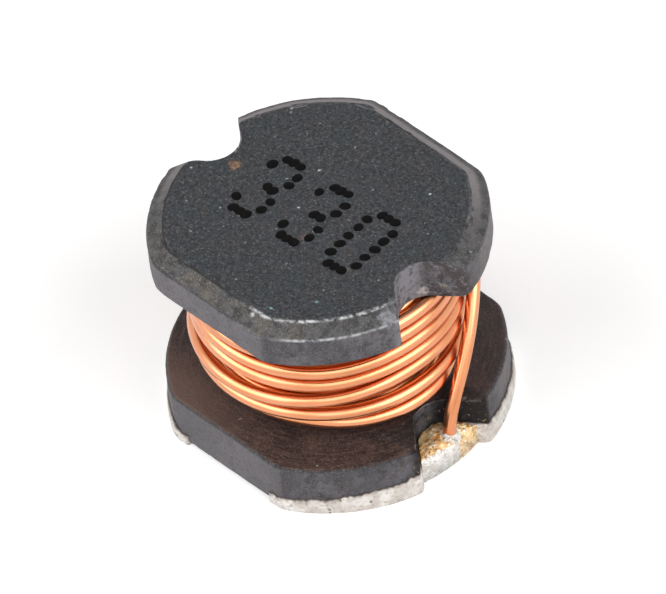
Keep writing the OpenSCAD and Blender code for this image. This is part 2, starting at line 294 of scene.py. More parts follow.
class Nodes:
    """Short calls for building one material's node tree."""

    def __init__(self, name):
        self.material = bpy.data.materials.new(name)
        self.material.use_nodes = True
        self.tree = self.material.node_tree
        self.shader = self.tree.nodes["Principled BSDF"]
        self.coords = self.add("ShaderNodeTexCoord")
        scale = self.add("ShaderNodeVectorMath", operation="SCALE")
        scale.inputs["Scale"].default_value = 1 / MM
        self.link(self.coords.outputs["Object"], scale.inputs[0])
        self.place = scale.outputs[0]

    def add(self, kind, **settings):
        node = self.tree.nodes.new(kind)
        for key, value in settings.items():
            setattr(node, key, value)
        return node

    def link(self, source, target):
        self.tree.links.new(source, target)

    def feed(self, value, socket):
        """Links a socket, or sets a plain value or colour."""
        if isinstance(value, bpy.types.NodeSocket):
            self.link(value, socket)
        else:
            socket.default_value = (*value, 1) if isinstance(value, tuple) else value

    def noise(self, scale, detail=3.0, rough=0.55, vector=None):
        """Noise from 0 to 1 with scale features to the millimetre."""
        node = self.add("ShaderNodeTexNoise")
        self.link(vector or self.place, node.inputs["Vector"])
        for key, value in (("Scale", scale), ("Detail", detail), ("Roughness", rough)):
            node.inputs[key].default_value = value
        return node.outputs["Fac"]

    def cells(self, scale):
        """Distance from the middle of random cells, scale of them to the millimetre, and a random colour for each."""
        node = self.add("ShaderNodeTexVoronoi")
        self.link(self.place, node.inputs["Vector"])
        node.inputs["Scale"].default_value = scale
        return node.outputs["Distance"], node.outputs["Color"]

    def span(self, value, low, high, to_low=0.0, to_high=1.0):
        """A value from low to high moved to another span, and held there outside it."""
        node = self.add("ShaderNodeMapRange", interpolation_type="SMOOTHSTEP")
        self.feed(value, node.inputs["Value"])
        for key, number in (("From Min", low), ("From Max", high), ("To Min", to_low), ("To Max", to_high)):
            node.inputs[key].default_value = number
        return node.outputs["Result"]

    def math(self, operation, a, b=0.0):
        node = self.add("ShaderNodeMath", operation=operation)
        self.feed(a, node.inputs[0])
        self.feed(b, node.inputs[1])
        return node.outputs[0]

    def times(self, *values):
        """The product of some values."""
        result = values[0]
        for value in values[1:]:
            result = self.math("MULTIPLY", result, value)
        return result

    def mix(self, factor, a, b):
        """Colour a with colour b laid over it by factor."""
        node = self.add("ShaderNodeMix", data_type="RGBA")
        colours = [s for s in node.inputs if s.type == "RGBA"]
        for value, socket in ((factor, node.inputs[0]), (a, colours[0]), (b, colours[1])):
            self.feed(value, socket)
        return next(s for s in node.outputs if s.type == "RGBA")

    def part(self, vector, axis):
        """One coordinate of a vector."""
        node = self.add("ShaderNodeSeparateXYZ")
        self.link(vector, node.inputs[0])
        return node.outputs[axis]

    def attribute(self, name):
        """A value stored on the mesh's points."""
        return self.add("ShaderNodeAttribute", attribute_name=name).outputs["Fac"]

    def facing(self, axis):
        """How squarely the surface faces along an axis, either way, from 0 to 1."""
        geometry = self.add("ShaderNodeNewGeometry")
        return self.math("ABSOLUTE", self.part(geometry.outputs["Normal"], axis))

    def from_axis(self):
        """Distance from the drum's axis."""
        x, y = self.part(self.place, "X"), self.part(self.place, "Y")
        return self.math("SQRT", self.math("ADD", self.times(x, x), self.times(y, y)))

    def arcs(self, across, along, at_radius=2.5):
        """Noise drawn out into arcs round the drum's axis, across and along features to the millimetre there."""
        x, y = self.part(self.place, "X"), self.part(self.place, "Y")
        turn = self.math("ARCTAN2", self.math("ABSOLUTE", y), x)
        join = self.add("ShaderNodeCombineXYZ")
        self.link(self.times(self.from_axis(), across), join.inputs["X"])
        self.link(self.times(turn, at_radius * along), join.inputs["Y"])
        return self.noise(1.0, detail=3, rough=0.6, vector=join.outputs[0])

    def specks(self, scale, size, share, axis):
        """Ragged specks of a size in cells, in that share of the cells."""
        near, tint = self.cells(scale)
        ragged = self.math("ADD", near, self.times(self.noise(scale * 5, detail=2), 0.3))
        chosen = self.span(self.part(tint, axis), 1 - share, 1.02 - share)
        return self.times(self.span(ragged, size + 0.1, size + 0.2, 1.0, 0.0), chosen)

    def patch(self, point, reach):
        """A ragged patch round a point, from 1 in its middle to 0 at its reach."""
        away = self.add("ShaderNodeVectorMath", operation="DISTANCE")
        self.link(self.place, away.inputs[0])
        away.inputs[1].default_value = point
        off_middle = self.math("SUBTRACT", self.noise(2.5 / reach, detail=4, rough=0.7), 0.5)
        ragged = self.math("ADD", away.outputs["Value"], self.times(off_middle, 2 * reach))
        return self.span(ragged, 0.4 * reach, reach, 1.0, 0.0)

    def bump(self, height, depth, normal=None):
        """A bump of that depth in millimetres where height goes from 0 to 1."""
        node = self.add("ShaderNodeBump")
        node.inputs["Strength"].default_value = 1.0
        node.inputs["Distance"].default_value = depth * MM
        self.link(height, node.inputs["Height"])
        if normal is not None:
            self.link(normal, node.inputs["Normal"])
        return node.outputs["Normal"]

    def finish(self, **values):
        """Sets or links the shader's own sockets by name, with _ for a space."""
        for key, value in values.items():
            self.feed(value, self.shader.inputs[key.replace("_", " ")])
        return self.material


def ferrite_fields(n):
    """Place, slope and grain at each point of the ferrite, and masks of its notches and of the flux in them."""
    x, y, height = (n.part(n.place, axis) for axis in "XYZ")
    out_x, out_y = n.math("ABSOLUTE", x), n.math("ABSOLUTE", y)
    fine = n.noise(32, detail=2, rough=0.6)
    in_lower_flange = n.span(height, GROOVE_LOW - 0.05, GROOVE_LOW + 0.05, 1.0, 0.0)
    return SimpleNamespace(
        x=x,
        y=y,
        height=height,
        out_y=out_y,
        diagonal=n.times(x, y),
        level=n.facing("Z"),
        grain=n.noise(15, detail=3, rough=0.6),
        coarse=n.noise(10, detail=4, rough=0.7),
        fine=fine,
        grit=n.span(fine, 0.54, 0.7),
        notch=n.times(n.span(out_y, 0.75, 0.95, 1.0, 0.0), n.span(out_x, 2.0, 2.1)),
        flux=n.times(n.span(out_x, 1.95, 2.2), n.span(out_y, 0.80, 0.95, 1.0, 0.0), in_lower_flange),
    )


def ground_colour(n, at):
    """Colour of the ground faces: near black, clouded and speckled."""
    colour = n.mix(n.span(at.grain, 0.36, 0.72), (0.025, 0.026, 0.029), (0.074, 0.075, 0.082))
    colour = n.mix(n.span(n.noise(2.2), 0.45, 0.65, 0.0, 0.4), colour, (0.032, 0.044, 0.050))
    colour = n.mix(n.span(n.noise(3.1), 0.52, 0.70, 0.0, 0.4), colour, (0.062, 0.052, 0.050))
    colour = n.mix(n.times(at.grit, 0.75), colour, (0.15, 0.155, 0.165))
    colour = n.mix(n.times(n.specks(14, 0.28, 0.5, "Y"), 0.6), colour, (0.145, 0.152, 0.158))
    colour = n.mix(n.times(n.specks(11, 0.30, 0.35, "Z"), 0.8), colour, (0.020, 0.020, 0.022))
    return n.mix(n.times(n.specks(5.5, 0.10, 0.3, "X"), 0.8), colour, (0.36, 0.37, 0.38))


def pressed_colour(n, at):
    """Colour of the pressed sides: clouded grey, paler on the flats and towards +X +Y, darker on the lower flange."""
    colour = n.mix(n.span(n.noise(1.3, detail=4), 0.38, 0.64), (0.078, 0.072, 0.078), (0.145, 0.134, 0.145))
    colour = n.mix(n.span(n.noise(4.6, detail=4), 0.50, 0.66, 0.0, 0.8), colour, (0.042, 0.038, 0.040))
    colour = n.mix(n.times(n.span(n.facing("Y"), 0.93, 0.995), 0.5), colour, (0.20, 0.185, 0.20))
    colour = n.mix(n.span(n.noise(3.4, detail=5, rough=0.65), 0.46, 0.70, 0.0, 0.5), colour, (0.143, 0.147, 0.165))
    colour = n.mix(n.span(at.grain, 0.34, 0.5, 0.6, 0.0), colour, (0.045, 0.042, 0.045))
    colour = n.mix(n.times(at.grit, 0.45), colour, (0.26, 0.255, 0.27))
    far_side = n.times(n.span(at.x, 1.2, 2.2), n.span(at.y, 0.9, 1.5))
    colour = n.mix(n.times(far_side, 0.55), colour, (0.20, 0.178, 0.18))
    return n.mix(n.span(at.height, GROOVE_LOW, GROOVE_TOP, 0.14, 0.0), colour, (0.04, 0.036, 0.036))


def notch_colour(n, at, colour):
    """A colour with pale and brown patches and coarse grain laid over it in the wire notches."""
    pale = n.times(at.notch, n.span(at.diagonal, 0.3, 0.9, 1.0, 0.0), n.span(n.noise(4.5), 0.34, 0.52))
    colour = n.mix(n.times(pale, 0.8), colour, (0.27, 0.26, 0.285))
    stain = n.times(at.notch, n.span(at.diagonal, 0.5, 1.1), n.span(n.noise(3.0), 0.30, 0.5))
    colour = n.mix(n.times(stain, 0.75), colour, (0.055, 0.042, 0.039))
    colour = n.mix(n.times(at.notch, n.span(at.coarse, 0.53, 0.64), 0.7), colour, (0.24, 0.235, 0.25))
    return n.mix(n.times(at.notch, n.span(at.coarse, 0.36, 0.46, 1.0, 0.0), 0.7), colour, (0.045, 0.040, 0.040))


def rim_colour(n, at, colour):
    """A colour with the top's sloped rim laid over it: dull grey, with a painted pale reflection on its inner half
    round the back, and stained along -Y.
    """
    on_rim = n.times(
        n.span(at.height, CORE_TOP - RIM_H - 0.04, CORE_TOP - RIM_H + 0.02),
        n.span(at.level, 0.5, 0.7),
        n.span(at.level, 0.92, 0.97, 1.0, 0.0),
    )
    rim = n.mix(n.span(n.noise(5.5, detail=4), 0.38, 0.62), (0.042, 0.041, 0.043), (0.110, 0.106, 0.108))
    # Painted reflection: a pale band on the rim's inner half round the back, where it faces the light behind
    behind = n.span(n.math("SUBTRACT", n.times(at.y, 0.82), n.times(at.x, 0.57)), -0.6, 1.4)
    inner = n.span(at.height, CORE_TOP - 0.12, CORE_TOP - 0.06)
    rim = n.mix(n.times(behind, inner, n.span(at.grain, 0.3, 0.6, 0.75, 1.0)), rim, (0.34, 0.305, 0.31))
    stained = n.times(n.span(at.y, -2.3, -1.9, 1.0, 0.12), n.span(n.noise(2.6, detail=5, rough=0.75), 0.38, 0.68))
    rim = n.mix(n.times(stained, 0.6), rim, (0.165, 0.142, 0.112))
    rim = n.mix(n.times(stained, n.span(at.fine, 0.5, 0.62), 0.7), rim, (0.27, 0.24, 0.19))
    rim = n.mix(n.times(at.grit, 0.6), rim, (0.24, 0.235, 0.23))
    return n.mix(n.times(on_rim, 0.9), colour, rim)


def shelf_colour(n, at, colour):
    """A colour with the lower flange's upper face laid over it: brown, partly a painted reflection of the coil's
    copper light, streaked round the axis and scuffed.
    """
    on_shelf = n.times(
        n.span(at.height, GROOVE_LOW - 0.06, GROOVE_LOW - 0.02),
        n.span(at.height, GROOVE_LOW + 0.05, GROOVE_LOW + 0.1, 1.0, 0.0),
        n.span(at.level, 0.5, 0.9),
    )
    # The brown is partly the ferrite's own tone and partly a painted reflection of the copper coil above it
    shelf = n.mix(n.span(n.noise(2.4, detail=4), 0.38, 0.62), (0.027, 0.016, 0.0135), (0.074, 0.042, 0.035))
    shelf = n.mix(n.span(n.arcs(17, 1.6), 0.44, 0.62, 0.0, 0.65), shelf, (0.115, 0.073, 0.058))
    shelf = n.mix(n.span(at.grain, 0.38, 0.55, 0.6, 0.0), shelf, (0.022, 0.015, 0.013))
    shelf = n.mix(n.span(at.coarse, 0.37, 0.47, 0.6, 0.0), shelf, (0.018, 0.014, 0.013))
    shelf = n.mix(n.times(at.grit, 0.5), shelf, (0.19, 0.16, 0.155))
    brown_side = n.times(n.span(at.y, -2.4, -1.5, 0.9, 0.0), n.span(at.x, -1.5, 1.2, 1.0, 0.0))
    shelf = n.mix(brown_side, shelf, (0.150, 0.099, 0.083))
    grey_side = n.times(n.span(at.y, 0.2, 1.2), n.span(at.x, 0.4, 1.4), 0.4)
    shelf = n.mix(grey_side, shelf, (0.044, 0.041, 0.045))
    colour = n.mix(n.times(on_shelf, 0.92), colour, shelf)
    scuffs = n.times(on_shelf, n.span(n.arcs(30, 2.5), 0.60, 0.70), n.span(n.noise(1.5), 0.5, 0.62))
    return n.mix(n.times(scuffs, 0.5), colour, (0.22, 0.17, 0.15))


def flux_colour(n, at, colour):
    """A colour with burnt flux and its amber and grey spatter laid over it in the lower notches."""
    burnt = n.times(at.flux, n.span(n.noise(6, detail=4), 0.3, 0.6, 0.95, 0.75))
    colour = n.mix(burnt, colour, (0.017, 0.014, 0.012))
    spatter = n.times(at.flux, n.span(n.noise(7, detail=5, rough=0.75), 0.60, 0.66))
    tint = n.mix(n.span(n.noise(4), 0.45, 0.55), (0.42, 0.28, 0.10), (0.30, 0.27, 0.27))
    return n.mix(spatter, colour, tint)


def edge_masks(n, at):
    """Where the edges get painted pale glints, which are mostly at the +X -Y end, and where they get a painted dark
    shade line instead.
    """
    glint_end = n.times(n.span(at.diagonal, -2.3, -1.2, 1.0, 0.12), n.span(at.x, 0.2, 1.0, 0.12, 1.0))
    off_flats = n.span(at.out_y, FLAT_Y - 0.35, FLAT_Y - 0.15, 1.0, 0.25)
    edge = n.attribute("edge")
    broken = n.times(n.span(n.noise(10, detail=4), 0.32, 0.62), n.span(n.noise(1.6), 0.30, 0.48, 0.3, 1.0))
    # Painted highlight: broken pale glint lines along the rounded edges, strongest at the +X -Y end
    wear_and_glint = n.times(n.span(edge, 0.1, 1.0), broken, off_flats, glint_end)
    # Painted shade: a dark line along the edges, weaker at the +X -Y end
    dark = n.times(n.span(edge, 0.5, 1.0), n.math("SUBTRACT", 0.85, n.times(glint_end, 0.85)))
    return wear_and_glint, dark


def ferrite_material():
    """Sintered ferrite: dark and speckled on its ground faces, paler on its pressed sides, with painted pale glints
    and painted dark shade lines along its edges.
    """
    n = Nodes("ferrite")
    at = ferrite_fields(n)
    sides = notch_colour(n, at, pressed_colour(n, at))
    colour = n.mix(n.span(at.level, 0.25, 0.7, 1.0, 0.0), ground_colour(n, at), sides)
    for lay_over in (rim_colour, shelf_colour, flux_colour):
        colour = lay_over(n, at, colour)
    wear_and_glint, dark = edge_masks(n, at)
    # Painted shade: near-black line along the edges
    colour = n.mix(dark, colour, (0.013, 0.012, 0.012))
    # Painted highlight: pale glints along the edges
    colour = n.mix(wear_and_glint, colour, (0.78, 0.78, 0.80))
    colour = n.mix(n.times(n.specks(3.4, 0.06, 0.3, "X"), 0.95), colour, (0.60, 0.61, 0.60))
    colour = n.mix(n.times(n.specks(2.6, 0.06, 0.09, "Z"), 0.8), colour, (0.26, 0.19, 0.13))
    for point, reach, tint in MARKS:
        shown = n.times(n.patch(point, reach), n.span(at.grain, 0.35, 0.6, 0.35, 0.95))
        colour = n.mix(shown, colour, tint)

    rough = n.math("SUBTRACT", n.span(at.grain, 0.3, 0.7, 0.44, 0.62), n.times(wear_and_glint, 0.2))
    rough = n.math("ADD", rough, n.times(at.flux, 0.6))
    bump = n.bump(n.math("ADD", at.grain, n.times(at.fine, 0.5)), 0.022)
    bump = n.bump(n.times(at.coarse, at.flux), 0.12, bump)
    return n.finish(Base_Color=colour, Roughness=rough, Normal=bump, Specular_IOR_Level=0.2)


def copper_material():
    """Bright copper wire under clear enamel, with faint drawing lines along it and a painted warm bounce light on the
    inner turns between the outer ones.
    """
    n = Nodes("copper_wire")
    stretch = n.add("ShaderNodeMapping")
    stretch.inputs["Scale"].default_value = (0.5, 9, 1)
    n.link(n.coords.outputs["UV"], stretch.inputs["Vector"])
    lines = n.noise(1.0, detail=3, vector=stretch.outputs[0])
    patches = n.noise(1.3, detail=2)
    colour = n.mix(n.span(patches, 0.35, 0.7), (0.79, 0.315, 0.145), (0.73, 0.265, 0.105))
    colour = n.mix(n.span(lines, 0.52, 0.75, 0.0, 0.6), colour, (0.47, 0.165, 0.055))
    # Painted bounce light: turns nearer the axis than the outer layer are a brighter, warmer orange, standing in for
    # light passed between the wires
    colour = n.mix(n.span(n.from_axis(), 2.10, 2.26, 0.85, 0.0), colour, (0.97, 0.37, 0.13))
    return n.finish(
        Base_Color=colour,
        Metallic=1.0,
        Roughness=n.span(lines, 0.3, 0.7, 0.22, 0.34),
        Normal=n.bump(lines, 0.0015),
        Coat_Weight=0.8,
        Coat_Roughness=0.1,
    )


def plating_material():
    """Dull silver plating with pits, a warm tarnish towards its upper edge and dark specks."""
    n = Nodes("plating")
    cloud = n.noise(4, detail=4)
    colour = n.mix(n.span(cloud, 0.35, 0.65), (0.58, 0.52, 0.47), (0.80, 0.77, 0.73))
    colour = n.mix(n.span(n.noise(15, detail=3), 0.52, 0.68, 0.0, 0.7), colour, (0.36, 0.33, 0.31))
    colour = n.mix(n.times(n.specks(7, 0.2, 0.45, "Y"), 0.85), colour, (0.16, 0.135, 0.12))
    upper = n.attribute("upper")
    colour = n.mix(n.times(upper, n.span(n.noise(7), 0.36, 0.56), 0.75), colour, (0.20, 0.15, 0.12))
    colour = n.mix(n.times(n.span(upper, 0.65, 1.0), 0.85), colour, (0.055, 0.038, 0.030))
    return n.finish(
        Base_Color=colour,
        Metallic=0.3,
        Roughness=n.span(cloud, 0.3, 0.7, 0.4, 0.58),
        Normal=n.bump(n.noise(12, detail=4, rough=0.6), 0.03),
    )


def solder_material():
    """Amber flux full of small bright grains over bright solder, which is bare towards the front."""
    n = Nodes("solder")
    colour = n.mix(n.span(n.noise(6, detail=4), 0.36, 0.62), (0.56, 0.28, 0.08), (0.95, 0.61, 0.28))
    near, tint = n.cells(17)
    colour = n.mix(n.times(n.span(n.part(tint, "X"), 0.4, 0.9), 0.85), colour, (0.95, 0.78, 0.44))
    bright = n.times(n.span(n.part(tint, "Z"), 0.58, 0.66), n.span(near, 0.25, 0.5, 1.0, 0.0))
    colour = n.mix(bright, colour, (1.0, 0.96, 0.82))
    dark = n.times(n.span(n.part(tint, "Y"), 0.8, 0.86), n.span(near, 0.25, 0.5, 1.0, 0.0))
    colour = n.mix(n.times(dark, 0.7), colour, (0.13, 0.06, 0.015))
    ragged = n.times(n.math("SUBTRACT", n.noise(7), 0.5), 0.5)
    bare = n.span(n.math("ADD", n.attribute("bare"), ragged), 0.42, 0.58)
    silver = n.mix(n.span(n.noise(8), 0.35, 0.65), (0.62, 0.58, 0.53), (0.86, 0.84, 0.80))
    colour = n.mix(bare, colour, silver)
    return n.finish(
        Base_Color=colour,
        Metallic=0.35,
        Roughness=n.span(n.part(tint, "X"), 0.0, 1.0, 0.18, 0.45),
        Normal=n.bump(n.math("ADD", n.part(tint, "Y"), n.noise(20, detail=3)), 0.03),
        Coat_Weight=0.5,
        Coat_Roughness=0.12,
    )


def ink_material():
    """Black marking ink that shows a little of the grain under it."""
    n = Nodes("ink")
    cloud = n.noise(9, detail=3)
    colour = n.mix(n.span(cloud, 0.4, 0.75), (0.002, 0.002, 0.002), (0.007, 0.006, 0.0055))
    rough = n.span(cloud, 0.3, 0.7, 0.5, 0.62)
    return n.finish(Base_Color=colour, Roughness=rough, Normal=n.bump(cloud, 0.012), Specular_IOR_Level=0.05)


def flange_profiles():
    """Profiles of the two flange edges as (inset from the outline, height, rounding) points."""
    lower = [
        (0.02, CORE_LOW, 0),
        (0.0, CORE_LOW + 0.02, 0.015),
        (0.0, GROOVE_LOW - EDGE_BREAK, 0.03),
        (EDGE_BREAK, GROOVE_LOW, 0.025),
        (EDGE_BREAK + 0.06, GROOVE_LOW, 0),
    ]
    upper = [
        (EDGE_BREAK + 0.06, GROOVE_TOP, 0),
        (EDGE_BREAK, GROOVE_TOP, 0.025),
        (0.0, GROOVE_TOP + EDGE_BREAK, 0.03),
        (0.0, CORE_TOP - RIM_H, 0.05),
        (RIM_W, CORE_TOP, 0.04),
        (RIM_W + 0.08, CORE_TOP, 0),
    ]
    return lower, upper


def core_rows(angles):
    """Rings of the drum's skin, each as its radii, height and wear, which also places the painted edge glints and
    shade, from the middle of its underside, over both flanges and the post, to the middle of its top."""
    lower, upper = flange_profiles()
    edges = np.array([point[:2] for point in lower[1:-1] + upper[1:-1]])
    off_top = np.where(edges[:, 1] > GROOVE_TOP + 0.1, WEAR_GLINT_RIM, WEAR_GLINT_BELOW)
    strength = np.where(edges[:, 1] > CORE_TOP - 0.1, WEAR_GLINT_TOP, off_top)
    notched = outline(angles) < outline(angles, 0, -CORE_R) - 0.01
    unworn = np.zeros(len(angles))

    def wall(profile):
        rows = []
        for inset, z in rounded_profile(profile, 0.045):
            away = np.hypot(*(edges - (inset, z)).T)
            on_rim = (strength * np.exp(-((away / WEAR_GLINT_REACH) ** 2))).max()
            to_face = min(CORE_TOP - z, abs(z - GROOVE_TOP), abs(z - GROOVE_LOW))
            in_notch = WEAR_GLINT_NOTCH * math.exp(-((to_face / WEAR_GLINT_NOTCH_REACH) ** 2))
            rows.append((outline(angles, inset), z, np.where(notched, in_notch, on_rim)))
        return rows

    def face(edge_r, z, inner_r, rings):
        return [(inner_r + (edge_r - inner_r) * k / rings, z, unworn) for k in range(1, rings)]

    low_wall, high_wall = wall(lower), wall(upper)
    rows = face(low_wall[0][0], CORE_LOW, 0, 10) + low_wall
    rows += face(low_wall[-1][0], GROOVE_LOW, POST_R, 16)[::-1]
    rows += [(np.full(len(angles), POST_R), z, unworn) for z in np.linspace(GROOVE_LOW, GROOVE_TOP, 8)]
    rows += face(high_wall[0][0], GROOVE_TOP, POST_R, 12) + high_wall
    return rows + face(high_wall[-1][0], CORE_TOP, 0, 44)[::-1]


def roughened(points, normals, wear_and_glint):
    """Points moved along their normals by the skin's relief, with chips cut into the edges where the wear is strong.
    """
    chips = wear_and_glint * np.maximum(noise_at(points, CHIP_SIZE) - CHIP_FROM, 0) * CHIP_DEPTH
    lift = sum(noise_at(points, size, seed) * height for size, seed, height in RELIEF) - chips
    return points + normals * lift[:, None]


def ferrite_core(material):
    """The drum as one closed skin of rings, with its wear, which also places the painted edge glints and shade, stored
    on its points.
    """
    angles = dense_angles(521, 0, 2 * math.pi, [0, math.pi, 2 * math.pi], 0.22, 2.4)[:-1]
    count = len(angles)
    rows = core_rows(angles)
    rings = [
        np.column_stack([radius * np.cos(angles), radius * np.sin(angles), np.full(count, z)]) for radius, z, _ in rows
    ]
    points = np.concatenate(rings + [np.array([(0, 0, CORE_LOW), (0, 0, CORE_TOP)])])
    wear_and_glint = np.concatenate([row[2] for row in rows] + [[0, 0]])
    bottom, top = len(points) - 2, len(points) - 1
    last = bottom - count
    faces = loft_faces(len(rows), count)
    faces += [(bottom, (k + 1) % count, k) for k in range(count)]
    faces += [(top, last + k, last + (k + 1) % count) for k in range(count)]
    piece = mesh_object("ferrite_drum", points, faces, material)

    normals = np.zeros(len(points) * 3)
    piece.data.vertices.foreach_get("normal", normals)
    points = roughened(points, normals.reshape(-1, 3), wear_and_glint)
    piece.data.vertices.foreach_set("co", (points * MM).ravel())
    piece.data.attributes.new("edge", "FLOAT", "POINT").data.foreach_set("value", wear_and_glint)
    piece.data.update()
    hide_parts("ferrite_core")
    return piece


def eased(values, width):
    """Evenly spaced values with their kinks smoothed over a width in samples."""
    window = np.hanning(width + 2)[1:-1]
    padded = np.concatenate([np.full(width, values[0]), values, np.full(width, values[-1])])
    return np.convolve(padded, window / window.sum(), mode="same")[width:-width]


def polar(radius, degrees, z):
    """A point from its radius and angle round the drum's axis and its height."""
    angle = math.radians(degrees)
    return [radius * math.cos(angle), radius * math.sin(angle), z]


def coil_schedule():
    """Where the coil changes its radius and its height, against the degrees it has turned, and the degrees at which
    its outer layer starts and it ends."""
    low_3 = COIL_LOW + TURN_PITCH
    low_2 = low_3 + TURN_PITCH
    tuck = LAYER_2 + TUCK_GAP
    end_1 = INWARD_TURN + 360 * math.floor((COIL_TOP - COIL_LOW) / TURN_PITCH)
    at_2 = end_1 + CROSS_TURN
    end_2 = at_2 + 360 * math.floor((COIL_TOP - low_2) / TURN_PITCH) - FAR_SHORT
    at_3 = end_2 + CROSS_TURN
    rise = COIL_TOP - low_3 - SLIP_GAP
    steps = math.floor(rise / TURN_PITCH)
    first_step = FAR_RUN + 360 * math.ceil((at_3 - FAR_RUN) / 360)
    total = first_step + 360 * steps + DROP_RUN

    radius_at = [
        (0, LEG_R), (INWARD_TURN, LAYER_1), (end_1, LAYER_1), (at_2, LAYER_2), (at_3, LAYER_2),
        (at_3 + FIRST_RUN_OUT, LAYER_3), (at_3 + FIRST_RUN_IN, LAYER_3), (at_3 + FIRST_RUN_TUCKED, tuck),
        (first_step - SWING_TURN, tuck), (first_step, LAYER_3),
    ]
    height_at = [
        (0, COIL_LOW), (INWARD_TURN, COIL_LOW), (end_1, COIL_TOP), (at_2, COIL_TOP), (end_2, low_2), (at_3, low_3),
    ]
    levels = [low_3 + rise / steps * k + (SLIP_GAP if k >= SLIP_STEP else 0) for k in range(steps + 1)]
    for k in range(steps):
        step_at = first_step + 360 * k
        height_at += [(step_at, levels[k]), (step_at + STEP_TURN, levels[k + 1])]
        radius_at.append((step_at + STEP_TURN, LAYER_3))
        for past, sag, reach in SAG.get(k + 1, []):
            height_at.append((step_at + past, levels[k + 1] + sag))
            radius_at.append((step_at + past, LAYER_3 + reach))
    radius_at += [(total - SWING_TURN, LAYER_3), (total, OUTSIDE)]
    return radius_at, height_at, at_3, total


def coil_run():
    """Points along the three layers of turns, and the degrees they turn."""
    radius_at, height_at, outer_from, total = coil_schedule()
    turned = np.arange(0, total + 1, RUN_STEP)
    radius = eased(np.interp(turned, *zip(*radius_at)), RUN_EASE)
    height = eased(np.interp(turned, *zip(*height_at)), RUN_EASE)
    outer = np.interp(turned, [outer_from, outer_from + 90, total - 120, total - 60], [0, 1, 1, 0])
    along = np.column_stack([turned / 55, turned / 360, np.zeros(len(turned))])
    radius += outer * WAVE_OUT * noise_at(along, 1.0)
    height += outer * WAVE_UP * noise_at(along, 1.0, 40)
    return [polar(*values) for values in zip(radius, RUN_ANGLE - turned, height)], total


def first_leg():
    """Points up the leg in the -X notch and round the bend above it."""
    leg = [polar(LEG_R, 180 + LEG_ANGLE, z) for z in np.linspace(LEG_END_H, COIL_LOW - BEND_R, 10)[:-1]]
    bend = [
        polar(LEG_R, RUN_ANGLE + BEND_ANGLE * math.cos(a), COIL_LOW - BEND_R * (1 - math.sin(a)))
        for a in np.radians(np.arange(0, 90, 10))
    ]
    return leg + bend


def last_leg(drop_from):
    """Points down the drop outside the coil, which starts at that angle, and down the leg in the +X notch."""
    hull = np.array([
        (drop_from, COIL_TOP),
        (drop_from - DROP_EASE, COIL_TOP),
        (LEG_ANGLE + LEG_EASE, SOLDER_TOP + LEG_RISE),
        (LEG_ANGLE, SOLDER_TOP),
    ])
    drop = []
    for t in np.linspace(0, 1, 50)[1:]:
        degrees, z = np.array([(1 - t) ** 3, 3 * t * (1 - t) ** 2, 3 * t * t * (1 - t), t**3]) @ hull
        drop.append(polar(np.interp(z, [SOLDER_TOP, COIL_TOP], [LEG_R, OUTSIDE]), degrees, z))
    return drop + [polar(LEG_R, LEG_ANGLE, z) for z in np.linspace(SOLDER_TOP, LEG_END_H, 8)[1:]]


def wire_path():
    """Points along the middle of the wire: first leg, three layers of turns, drop and last leg."""
    run, turned = coil_run()
    return np.array(first_leg() + run + last_leg((RUN_ANGLE - turned) % 360))


def winding(material, sides=16):
    """The wire as one round tube, with its length and its turn as texture coordinates."""
    path = wire_path()
    along = np.gradient(path, axis=0)
    along /= np.linalg.norm(along, axis=1)[:, None]
    radial = path * (1, 1, 0)
    side = radial - (radial * along).sum(1)[:, None] * along
    side /= np.linalg.norm(side, axis=1)[:, None]
    up = np.cross(along, side)
    turn = np.arange(sides) * 2 * math.pi / sides
    rings = path[:, None] + WIRE_R * (
        np.cos(turn)[None, :, None] * side[:, None] + np.sin(turn)[None, :, None] * up[:, None]
    )
    piece = mesh_object("copper_winding", rings.reshape(-1, 3), capped_faces(len(path), sides), material)

    length = np.concatenate([[0], np.cumsum(np.linalg.norm(np.diff(path, axis=0), axis=1))])
    vertex = np.zeros(len(piece.data.loops), dtype=int)
    piece.data.loops.foreach_get("vertex_index", vertex)
    coords = np.column_stack([length[vertex // sides], vertex % sides / sides])
    piece.data.uv_layers.new(name="wire").data.foreach_set("uv", coords.ravel())
    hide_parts("winding")
    return piece


def end_piece(name, node, sections, turned, material):
    """A piece at one end of the drum, lofted through closed sections and turned by half a turn for the -X end."""
    sections = np.array(sections) * ((-1, -1, 1) if turned else (1, 1, 1))
    piece = mesh_object(name, sections.reshape(-1, 3), capped_faces(*sections.shape[:2]), material)
    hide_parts(node)
    return piece


def plating_section(r_in, r_core, r_out, top):
    """Section of the plating at one angle, as (radius, height) points: under the flange, round and up its wall."""
    thick = r_out - r_core
    section = [(r_in, CORE_LOW), (r_in, 0.0)]
    section += [(r_in + (r_out - 0.05 - r_in) * s, 0.0) for s in (0.3, 0.6, 0.85)]
    section += [(r_out - 0.03, 0.0), (r_out - 0.008, 0.008), (r_out, PLATING_FOOT)]
    section += [(r_core + thick * left, PLATING_FOOT + (top - PLATING_FOOT) * s) for s, left in PLATING_THINS]
    return section + [(r_core - PLATING_SUNK, top), (r_core - PLATING_SUNK, CORE_LOW)]


